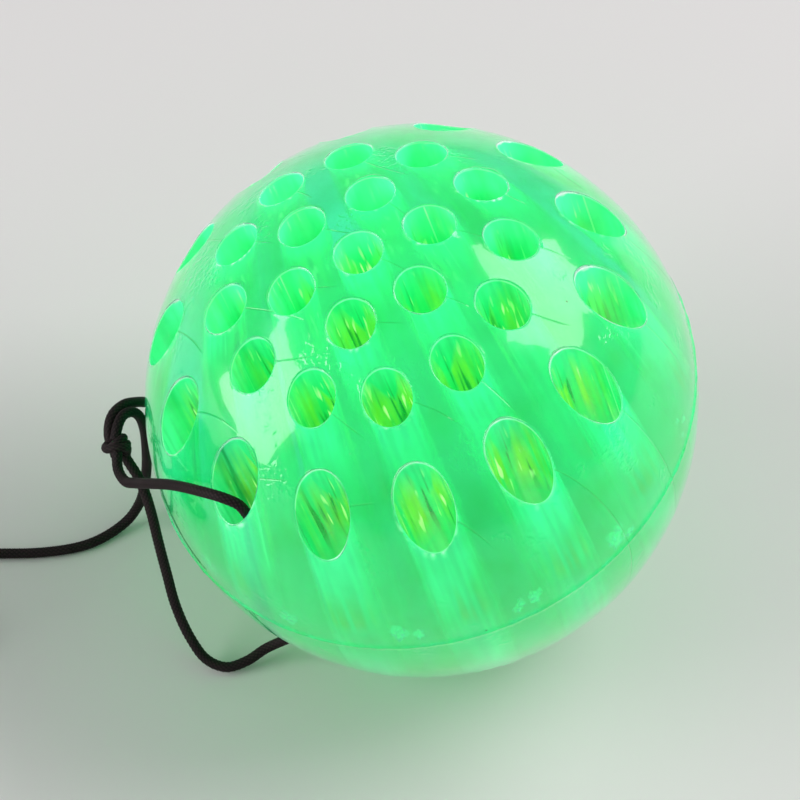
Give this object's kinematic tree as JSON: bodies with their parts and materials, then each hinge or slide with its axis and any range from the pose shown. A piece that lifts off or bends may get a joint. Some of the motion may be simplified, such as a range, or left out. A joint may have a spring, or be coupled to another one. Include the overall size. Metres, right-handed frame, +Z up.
{
  "type": "wrist return ball",
  "caption": "Soft translucent ball pierced by parallel bores, tied on an elastic cord with a hook-and-loop wrist strap, so that a thrown ball springs back to the hand.",
  "frame": {"origin": "centre of the ball, on the axis of its centre bore", "axes": "+Z up; the strap lies on the -X side of the ball; the bores lean about 15 degrees from +Z"},
  "size_m": [0.1685, 0.0652, 0.0648],
  "materials": {
    "clear_green_elastomer": "glossy, translucent",
    "elastic_cord": "braided",
    "twist_tie": "matte",
    "nickel_plated_steel": "polished",
    "webbing": "woven",
    "loop_tape": "napped",
    "hook_tape": "hooked",
    "thread": "twisted"
  },
  "bodies": {
    "strap": {"wrist_strap": "webbing", "loop_patch": "loop_tape", "strap_stitching": "thread", "eyelet": "nickel_plated_steel", "strap_knot": "elastic_cord", "cord_end": "elastic_cord", "cord_coil": "elastic_cord", "coil_tie": "twist_tie"},
    "flap": {"strap_flap": "webbing", "hook_patch": "hook_tape", "flap_stitching": "thread"},
    "tether": {"cord_lead": "elastic_cord"},
    "ball": {"ball": "clear_green_elastomer", "cord_loop": "elastic_cord", "ball_knot": "elastic_cord", "cord_tail": "elastic_cord", "cord_drop": "elastic_cord"}
  },
  "joints": [
    {"name": "cord_stretch", "type": "slide", "parent": "strap", "child": "tether", "axis": [1, 0, 0], "range_m": [0, 0.06], "stiffness_N_per_m": 8, "deforming": ["cord_lead"]},
    {"name": "ball_swing", "type": "hinge", "parent": "tether", "child": "ball", "pos_m": [-0.038, 0.0026, -0.0317], "axis": [0, 0, 1], "range_deg": [-35, 35]},
    {"name": "flap_open", "type": "hinge", "parent": "strap", "child": "flap", "pos_m": [-0.13404, -0.01623, -0.02238], "axis": [0, 0, -1], "range_deg": [0, 100]}
  ]
}
